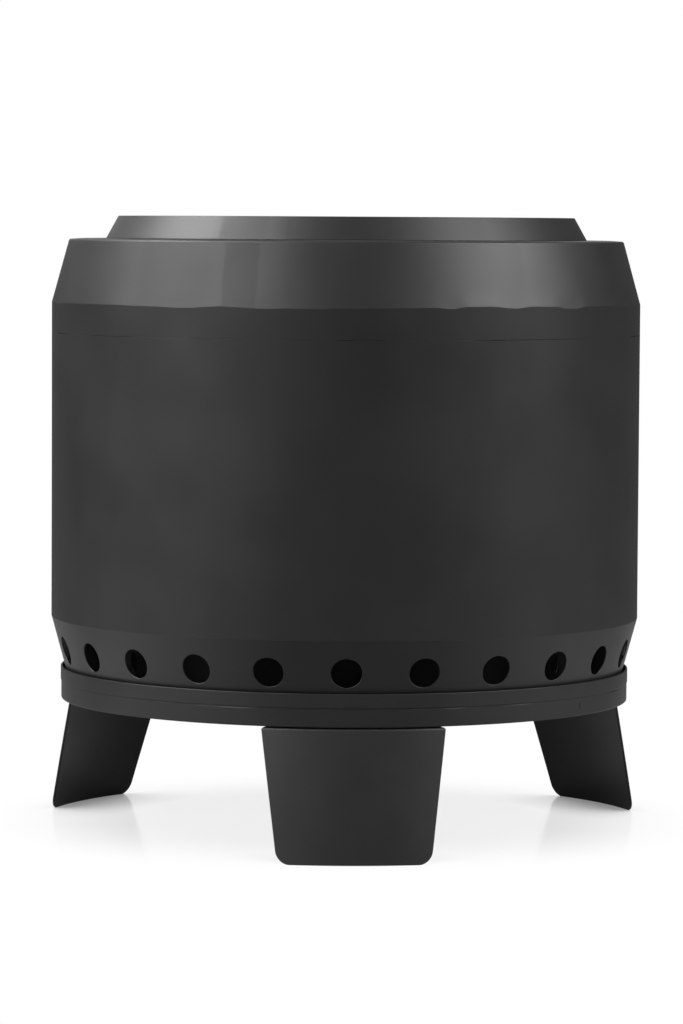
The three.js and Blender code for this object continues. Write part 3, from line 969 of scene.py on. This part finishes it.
# The waves that the rolled wall wanders in: their share, number round the wall, turn up a metre and start.
wall_waves = ((1, 2, 0, 0.6), (0.6, 5, 9, 1))
seam_gap = 0.6 * MM
seam_lip = (0.3 * MM, 0.1 * MM)  # how much of the wall below and above its shoulder the open seam draws down
# The stretches of open seam, each from and to in degrees, with its share of the whole gap.
bare_stretches = (
    (-58, -45, 0.4), (-30, -28.5, 0.25), (-25, -21.5, 0.3), (-19, -16.5, 0.25), (-10, -7, 0.4), (-2, 1, 0.4),
    (5.5, 7, 0.25), (24, 27, 0.4), (27, 31, 0.75), (31, 44, 0.5), (44, 50, 0.25), (71, 83, 0.6),
    (96, 99, 0.4), (121, 131, 0.5), (158, 164, 0.4), (181, 196, 0.7), (214, 219, 0.4), (236, 250, 0.6),
    (268, 272, 0.4), (284, 291, 0.5),
)


def rolled_wall(azimuth, radius, height):
    """Rolled sheet is never quite round, its ground weld lies a little below the surface, and here and there
    the paint has not bridged the seam under the shroud."""
    most = sum(wave[0] for wave in wall_waves)
    drift = sum(
        share * math.sin(count * azimuth + rise * height + start) for share, count, rise, start in wall_waves
    )
    middle = math.sin(math.pi * (height - wall_foot) / (wall_shoulder - wall_foot))
    radius -= wall_wander * (most + drift) / (2 * most) * max(middle, 0)
    off = (azimuth - weld_azimuth) * drum_radius / weld_width
    if wall_shoulder - seam_lip[0] < height < wall_shoulder + seam_lip[1]:
        height -= seam_gap * stretch_share(bare_stretches, azimuth)
    return radius - weld_dip * math.exp(-off * off), height


body_wall = turned_piece(
    "rolled_body_wall",
    [
        (drum_radius, wall_foot, 0),
        (drum_radius, wall_shoulder, wall_shoulder_bend),
        (drum_radius - drum_joggle, wall_shoulder, joggle_bend),
        (drum_radius - drum_joggle, wall_high.z, 0),
    ],
    drum_sheet,
    satin_paint,
    full_turn(fine_around, weld_azimuth, weld_width / drum_radius, weld_columns),
    rolled_wall,
    edge=0.06 * MM,
    longest=20 * MM,
)
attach(body_wall, "drum")
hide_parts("body_wall")


# Top shroud
# Shelf, conical shoulder and a short straight skirt, spun in one piece from 1.2 mm sheet and painted. The
# crease between skirt and shoulder was pressed in short stretches, so that it wanders a little up and down.
shroud_low, shroud_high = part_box("top_shroud")
shroud_crease = shroud_low.z + 25.2 * MM
shroud_crease_bend = 1.2 * MM
shelf_rim = 233 * MM
shelf_rim_bend = 2 * MM
shelf_fall = 0.7 * MM
shelf_level = shelf_rim - 11 * MM
shelf_bend = 3 * MM
shelf_eye = 200.3 * MM
crease_reach = 7 * MM
# How far the crease wanders up from its mean height: azimuths in degrees, from the front, and millimetres.
crease_wander = (
    (-180, 0.3), (-171, -0.6), (-165, 0.5), (-150, 0.2), (-143, -0.8), (-138, 0.4), (-121, -0.2),
    (-112, 0.6), (-104, -0.5), (-97, -0.7), (-91, 0.3), (-78, -0.7), (-66, 0.1), (-48, 0.2), (-44, -0.2),
    (-37, -0.5), (-34, -1.0), (-30, -0.9), (-27.5, 0), (-24.5, 0.6), (-21, 0.1), (-18, -0.7), (-15, -0.9),
    (-12, -0.5), (-5, -0.7), (-2, -0.2), (1, -0.4), (6, 0), (11, 0.3), (16.5, 0.5), (18.5, -0.3),
    (20, -0.4), (22, 1.2), (28, 1.4), (31, 0.1), (33, -0.3), (34.5, 0.5), (36, 1.2), (42.5, 1.0),
    (45, -0.6), (48, -0.9), (51, 0.6), (61, 0.8), (66, 0), (70, -0.9), (80, 0.3), (92, -0.5), (99, 0.4),
    (104, -0.9), (109, 0.5), (126, -0.2), (135, 0.6), (141, -0.7), (156, 0.1), (163, -0.8), (170, -0.2),
    (180, 0.3),
)


def pressed_crease(azimuth, radius, height):
    """The crease and the sheet near it, lifted by how far the crease wanders up at this azimuth."""
    degrees = math.degrees(math.remainder(azimuth, 2 * math.pi))
    after = next(i for i, (knot, _) in enumerate(crease_wander) if knot >= degrees)
    (start, low), (end, high) = crease_wander[max(after - 1, 0)], crease_wander[max(after, 1)]
    share = (degrees - start) / (end - start)
    rise = low + (high - low) * share * share * (3 - 2 * share)
    fall = math.exp(-((height - shroud_crease) / crease_reach) ** 2)
    return radius, height + rise * MM * fall


top_shroud = turned_piece(
    "spun_top_shroud",
    [
        (drum_radius, shroud_low.z, 0),
        (drum_radius, shroud_crease, shroud_crease_bend),
        (shelf_rim, shroud_high.z - shelf_fall, shelf_rim_bend),
        (shelf_level, shroud_high.z, shelf_bend),
        (shelf_eye, shroud_high.z, 0),
    ],
    drum_sheet,
    satin_paint,
    full_turn(fine_around),
    pressed_crease,
    edge=0.08 * MM,
    longest=5 * MM,
)
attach(top_shroud, "drum")
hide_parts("top_shroud")


# Flame ring
# A loose cone rolled from 1.5 mm sheet that stands on the shelf and leans over the fire, with a skirt inside
# the firebox that keeps it central. Painted as the shroud is.
flame_low, flame_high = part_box("flame_ring")
flame_sheet = 1.5 * MM
flame_foot = flame_high.z - 19 * MM
flame_foot_bends = (1 * MM, 0.25 * MM)
flame_skirt = 197.5 * MM
flame_lean = 10.5 * MM
flame_ring = turned_piece(
    "leaning_flame_ring",
    [
        (flame_skirt, flame_low.z, 0),
        (flame_skirt, flame_foot, flame_foot_bends[0]),
        (flame_high.x, flame_foot, flame_foot_bends[1]),
        (flame_high.x - flame_lean, flame_high.z, 0),
    ],
    flame_sheet,
    satin_paint,
    edge=0.5 * MM,
    longest=6 * MM,
)
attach(flame_ring, "flame_ring")
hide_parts("flame_ring")


# Ash pan
# A lift-out pan of 1.2 mm stainless that stands on the base plate inside the hearth: 12 punched slots below a
# turned-out rim, which carries the grate.
pan_low, pan_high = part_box("ash_pan")
pan_sheet = 1.2 * MM
pan_floor_bend = 4 * MM
pan_rim = 4 * MM
pan_rim_bend = 0.6 * MM
pan_radius = pan_high.x - pan_rim
slot_half = (12 * MM, 4 * MM)
slot_corner = 2 * MM
slot_height = pan_high.z - 9 * MM
slot_bands = (6.5 * MM, 5.85 * MM)  # below and above the slots
ash_pan = pierced_ring(
    "drawn_ash_pan",
    [
        (0, pan_low.z, 0),
        (pan_radius, pan_low.z, pan_floor_bend),
        (pan_radius, slot_height - slot_bands[0], None),
        (pan_radius, slot_height + slot_bands[1], None),
        (pan_radius, pan_high.z - pan_sheet, pan_rim_bend),
        (pan_high.x, pan_high.z - pan_sheet, 0),
    ],
    pan_sheet,
    rolled_stainless,
    holes=12,
    hole_height=slot_height,
    ray=slot_ray(*slot_half, slot_corner),
    grid=(14, 3),
)
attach(ash_pan, "ash_pan")
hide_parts("ash_pan")


# Ash pan handle
# A loop of 5 mm stainless wire, bent at two corners, whose feet are welded to the pan's floor.
handle_low, handle_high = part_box("ash_pan_handle")
wire_radius = 2.5 * MM
handle_bend = 12 * MM

# A round wire along a bent route.
wire_tree, given = new_tree(
    "bent_wire", Radius="Float", Bend="Float", Sides="Int", Bend_Steps="Int", Finish="Material"
)
route = add_node(wire_tree, "GeometryNodeMeshToCurve", {"Mesh": given["Geometry"]})
bends = add_node(
    wire_tree,
    "GeometryNodeFilletCurve",
    {"Curve": route, "Radius": given["Bend"], "Count": given["Bend Steps"], "Limit Radius": True},
    mode="POLY",
)
section = add_node(
    wire_tree, "GeometryNodeCurvePrimitiveCircle", {"Radius": given["Radius"], "Resolution": given["Sides"]}
)
wire = add_node(
    wire_tree, "GeometryNodeCurveToMesh", {"Curve": bends, "Profile Curve": section, "Fill Caps": True}
)
end_tree(wire_tree, given, wire)

handle_route = bmesh.new()
handle_half = handle_high.y - wire_radius
wire_top = handle_high.z - wire_radius
ends_up = ((-1, handle_low.z), (-1, wire_top), (1, wire_top), (1, handle_low.z))
corners = [handle_route.verts.new((0, way * handle_half, height)) for way, height in ends_up]
for first, second in zip(corners, corners[1:]):
    handle_route.edges.new((first, second))
pan_handle = grown(
    "bent_wire_handle",
    handle_route,
    wire_tree,
    Radius=wire_radius,
    Bend=handle_bend,
    Sides=20,
    Bend_Steps=8,
    Finish=flat_stainless,
)
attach(pan_handle, "ash_pan")
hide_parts("ash_pan_handle")


# Grate
# A 2 mm stainless plate on the ash pan's rim, pierced by three rings of round air holes and two larger finger
# holes to lift it by.
grate_low, grate_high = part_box("grate")
grate_sheet = grate_high.z - grate_low.z
grate_lip = 0.4 * MM
grate_guard = 0.4 * MM
air_hole = 7 * MM
finger_hole = 13 * MM
finger_place = 28 * MM
hole_rings = ((72 * MM, 12), (108 * MM, 18), (144 * MM, 24))

# A flat plate with round holes, one on each point, as large as the point's "hole_radius".
plate_tree, given = new_tree(
    "pierced_plate",
    Radius="Float",
    Top="Float",
    Thickness="Float",
    Guard="Float",
    Section="Object",
    Hole_Sides="Int",
    Rim_Sides="Int",
    Weld="Float",
    Finish="Material",
)
unit = add_node(
    plate_tree, "GeometryNodeCurvePrimitiveCircle", {"Radius": 1, "Resolution": given["Hole Sides"]}
)
hole_size = add_node(
    plate_tree, "GeometryNodeInputNamedAttribute", {"Name": "hole_radius"}, data_type="FLOAT"
)
eyelet_size = add_node(plate_tree, "ShaderNodeMath", {0: hole_size, 1: given["Guard"]}, operation="ADD")
circles = add_node(
    plate_tree,
    "GeometryNodeInstanceOnPoints",
    {"Points": given["Geometry"], "Instance": unit, "Scale": eyelet_size},
)
holes = add_node(plate_tree, "GeometryNodeRealizeInstances", {"Geometry": circles})
rim_size = add_node(
    plate_tree, "ShaderNodeMath", {0: given["Radius"], 1: given["Guard"]}, operation="SUBTRACT"
)
rim = add_node(
    plate_tree, "GeometryNodeCurvePrimitiveCircle", {"Radius": rim_size, "Resolution": given["Rim Sides"]}
)
backwards = add_node(plate_tree, "GeometryNodeReverseCurve", {"Curve": holes})
rails = add_node(plate_tree, "GeometryNodeJoinGeometry", {"Geometry": [rim, backwards]})
face = add_node(plate_tree, "GeometryNodeFillCurve", {"Curve": rails}, mode="TRIANGLES")
underside = add_node(
    plate_tree, "ShaderNodeMath", {0: given["Top"], 1: given["Thickness"]}, operation="SUBTRACT"
)
lift = add_node(plate_tree, "ShaderNodeCombineXYZ", {"Z": given["Top"]})
drop = add_node(plate_tree, "ShaderNodeCombineXYZ", {"Z": underside})
section = add_node(plate_tree, "GeometryNodeObjectInfo", {"Object": given["Section"]}).outputs["Geometry"]
section = add_node(plate_tree, "GeometryNodeMeshToCurve", {"Mesh": section})
edges = add_node(plate_tree, "GeometryNodeCurveToMesh", {"Curve": rails, "Profile Curve": section})
sides = [
    add_node(plate_tree, "GeometryNodeTransform", {"Geometry": side, "Translation": move})
    for side, move in ((face, lift), (face, drop), (edges, lift))
]
end_tree(plate_tree, given, add_node(plate_tree, "GeometryNodeJoinGeometry", {"Geometry": sides}))


def grate_points():
    """The places of the grate's holes, each with its hole's radius."""
    mesh = bmesh.new()
    size = mesh.verts.layers.float.new("hole_radius")
    for radius, count in hole_rings:
        for i in range(count):
            angle = 2 * math.pi * i / count
            mesh.verts.new((radius * math.cos(angle), radius * math.sin(angle), 0))[size] = air_hole
    for way in (-1, 1):
        mesh.verts.new((way * finger_place, 0, 0))[size] = finger_hole
    return mesh


def punched_section():
    """The section of a punched edge, from the plate's upper face round both lips to its lower face."""
    arc = [(grate_guard + grate_lip - back, down) for back, down in quarter_arc(grate_lip)]
    upper = [(0, 0, 0)] + [(out, down, 0) for out, down in arc]
    places = upper + [(out, grate_sheet - down, 0) for out, down, _ in reversed(upper)]
    mesh = bpy.data.meshes.new("punched_section")
    mesh.from_pydata(places, [(i, i + 1) for i in range(len(places) - 1)], [])
    return add_object("punched_section", mesh)


section = punched_section()
grate = grown(
    "pierced_grate",
    grate_points(),
    plate_tree,
    Radius=grate_high.x,
    Top=grate_high.z,
    Thickness=grate_sheet,
    Guard=grate_guard + grate_lip,
    Section=section,
    Hole_Sides=20,
    Rim_Sides=144,
    Weld=sector_weld,
    Finish=flat_stainless,
)
bpy.data.objects.remove(section)
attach(grate, "grate")
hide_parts("grate")


# Studio
# A pale seamless floor that runs out to white, and large soft lamps left, right and above. The camera and
# reflections see the surroundings white, and matt surfaces get about a third of that light.
white = srgb("#ffffff")
floor_grey = srgb("#e6e6e6")
floor_roughness = 0.12
floor_specular = 0.5
floor_half = 9
floor_show = 0.32  # how much of the board is seen through the white of the surroundings
painted_contact_shade = 1.1  # how much more of the shaded board is seen where ambient occlusion finds the object close over it: a painted contact shadow
contact_shade_reach = 0.07
contact_shade_fade = (0.245, 0.285)
floor_fade = (0.15, 0.33)  # from the middle of the shadow, where the board runs out to plain white
shadow_middle = (0, 0.02, floor_level)
fill_strength = 0.3


def seen_directly(tree):
    """1 for the camera's rays and for those reflected or let through."""
    rays = add_node(tree, "ShaderNodeLightPath").outputs
    seen = rays["Is Camera Ray"]
    for kind in ("Is Glossy Ray", "Is Transmission Ray"):
        seen = add_node(tree, "ShaderNodeMath", {0: seen, 1: rays[kind]}, operation="MAXIMUM")
    return seen


world = bpy.data.worlds.new("white_studio")
world.use_nodes = True
tree = world.node_tree
tree.nodes.clear()
strength = add_node(
    tree, "ShaderNodeMapRange", {"Value": seen_directly(tree), "To Min": fill_strength, "To Max": 1}
)
backdrop = add_node(tree, "ShaderNodeBackground", {"Color": white, "Strength": strength})
add_node(tree, "ShaderNodeOutputWorld", {"Surface": backdrop})
bpy.context.scene.world = world

# Satin white floor board, which mirrors the legs' feet faintly and runs out to the white of the surroundings.
# Where the object stands close over it, an ambient-occlusion mask shows more of the darker board: a painted
# contact shadow.
floor_paint, tree = new_material("satin_white_floor")
board = add_node(
    tree,
    "ShaderNodeBsdfPrincipled",
    {"Base Color": floor_grey, "Roughness": floor_roughness, "Specular IOR Level": floor_specular},
)
glow = add_node(tree, "ShaderNodeEmission", {"Color": white, "Strength": 1})
place = add_node(tree, "ShaderNodeTexCoord").outputs["Object"]
from_middle = add_node(tree, "ShaderNodeVectorMath", {0: place, 1: shadow_middle}, operation="SUBTRACT")
distance = add_node(tree, "ShaderNodeVectorMath", {"Vector": from_middle}, operation="LENGTH")
board_share, contact_shade_share = (
    add_node(
        tree,
        "ShaderNodeMapRange",
        {"Value": distance, "From Min": fade[0], "From Max": fade[1], "To Min": most, "To Max": 0},
        interpolation_type="SMOOTHSTEP",
    )
    for fade, most in ((floor_fade, floor_show), (contact_shade_fade, painted_contact_shade))
)
# Painted contact shadow: the less open the floor is to the sky, the more of the darker board shows.
openness = add_node(tree, "ShaderNodeAmbientOcclusion", {"Distance": contact_shade_reach}, samples=8).outputs["AO"]
occlusion_shade = add_node(tree, "ShaderNodeMath", {0: 1, 1: openness}, operation="SUBTRACT")
shown = add_node(
    tree, "ShaderNodeMath", {0: occlusion_shade, 1: contact_shade_share, 2: board_share}, operation="MULTIPLY_ADD"
)
hidden = add_node(tree, "ShaderNodeMath", {0: 1, 1: shown}, operation="SUBTRACT", use_clamp=True)
plain = add_node(tree, "ShaderNodeMath", {0: hidden, 1: seen_directly(tree)}, operation="MULTIPLY")
mixed = add_node(tree, "ShaderNodeMixShader", {0: plain, 1: board, 2: glow})
add_node(tree, "ShaderNodeOutputMaterial", {"Surface": mixed})


def add_stage(name, corners, faces, material):
    """A mesh of the studio, which isn't part of the object."""
    mesh = bpy.data.meshes.new(name)
    mesh.from_pydata(corners, [], faces)
    mesh.materials.append(material)
    item = add_object(name, mesh)
    return item


corner_ways = ((-1, -1), (1, -1), (1, 1), (-1, 1))
corners = [(x * floor_half, y * floor_half, floor_level) for x, y in corner_ways]
add_stage("studio_floor", corners, [(0, 1, 2, 3)], floor_paint)

# Grey screens stand out of the picture behind the pit, left and right. Only reflections see them: they keep
# the drum's edges dark against the white.
screen_grey = srgb("#707070")
screen_radius = 1.2
screen_heights = {"left": 0.62, "right": 1}
screen_azimuths = (98, 160)
screen_panels = 8

screen_paint, tree = new_material("grey_screen")
glow = add_node(tree, "ShaderNodeEmission", {"Color": screen_grey, "Strength": 1})
add_node(tree, "ShaderNodeOutputMaterial", {"Surface": glow})
for side, way in (("left", -1), ("right", 1)):
    corners = []
    for i in range(screen_panels + 1):
        degrees = screen_azimuths[0] + (screen_azimuths[1] - screen_azimuths[0]) * i / screen_panels
        for height in (floor_level, floor_level + screen_heights[side]):
            corners.append(round_axis(way * math.radians(degrees), screen_radius, height))
    panels = [(2 * i, 2 * i + 1, 2 * i + 3, 2 * i + 2) for i in range(screen_panels)]
    screen = add_stage(side + "_screen", corners, panels, screen_paint)
    screen.visible_camera = False
    screen.visible_diffuse = False
    screen.visible_transmission = False
    screen.visible_shadow = False


def add_lamp(name, place, width, height, radiance, diffuse, glossy):
    """An evenly bright rectangle of light, which the camera doesn't see. None is made for a radiance of 0."""
    if radiance == 0:
        return
    lamp_data = bpy.data.lights.new(name, "AREA")
    lamp_data.shape = "RECTANGLE"
    lamp_data.size = width
    lamp_data.size_y = height
    lamp_data.energy = radiance * math.pi * width * height
    lamp = add_object(name, lamp_data)
    lamp.matrix_world = place
    lamp.visible_diffuse = diffuse
    lamp.visible_glossy = glossy
    lamp.visible_camera = False


lamp_aim = Vector((0, 0, 0.15))
lamps = (
    # name, azimuth, elevation and roll in degrees, distance, width, height, radiance for matte and for sheen
    ("left_softbox", -67, 40, -22, 2.2, 2.0, 1.0, 1.2, 108),
    ("left_rim_softbox", -99, 46, 0, 2.2, 0.9, 0.8, 0, 62),
    ("left_low_softbox", -76, 6, 0, 2.2, 1.6, 0.9, 5.4, 0),
    ("right_softbox", 66, 36, -22, 2.2, 1.25, 0.95, 1.2, 100),
    ("right_low_softbox", 72, 6, 0, 2.2, 1.6, 0.9, 4.2, 0),
    ("overhead_softbox", 0, 75, 0, 2.4, 2.2, 1.6, 1.2, 3),
)
for lamp_name, azimuth, elevation, roll, away, width, height, matte, sheen in lamps:
    azimuth, elevation = math.radians(azimuth), math.radians(elevation)
    out = Vector(round_axis(azimuth, math.cos(elevation), math.sin(elevation)))
    facing = out.to_track_quat("Z", "Y").to_matrix().to_4x4() @ Matrix.Rotation(math.radians(roll), 4, "Z")
    place = Matrix.Translation(lamp_aim + out * away) @ facing
    add_lamp(lamp_name + "_matte", place, width, height, matte, True, False)
    add_lamp(lamp_name + "_sheen", place, width, height, sheen, False, True)

# The white floor throws light up into the lower cone, as two boards of light lying beside the pit do here.
board_place = (0.55, 0.02)  # from the pit's axis, and above the floor
board_size = (0.5, 0.4)
boards = (("left", -62, 3.2), ("right", 62, 2.4))  # the azimuth in degrees, and the radiance
face_up = Matrix.Rotation(math.pi, 4, "X")
for side, azimuth, radiance in boards:
    turn = Matrix.Rotation(math.radians(azimuth), 4, "Z")
    lying = Matrix.Translation((0, -board_place[0], floor_level + board_place[1])) @ face_up
    add_lamp(side + "_floor_board", turn @ lying, *board_size, radiance, True, True)

bpy.context.scene.view_settings.view_transform = "Standard"
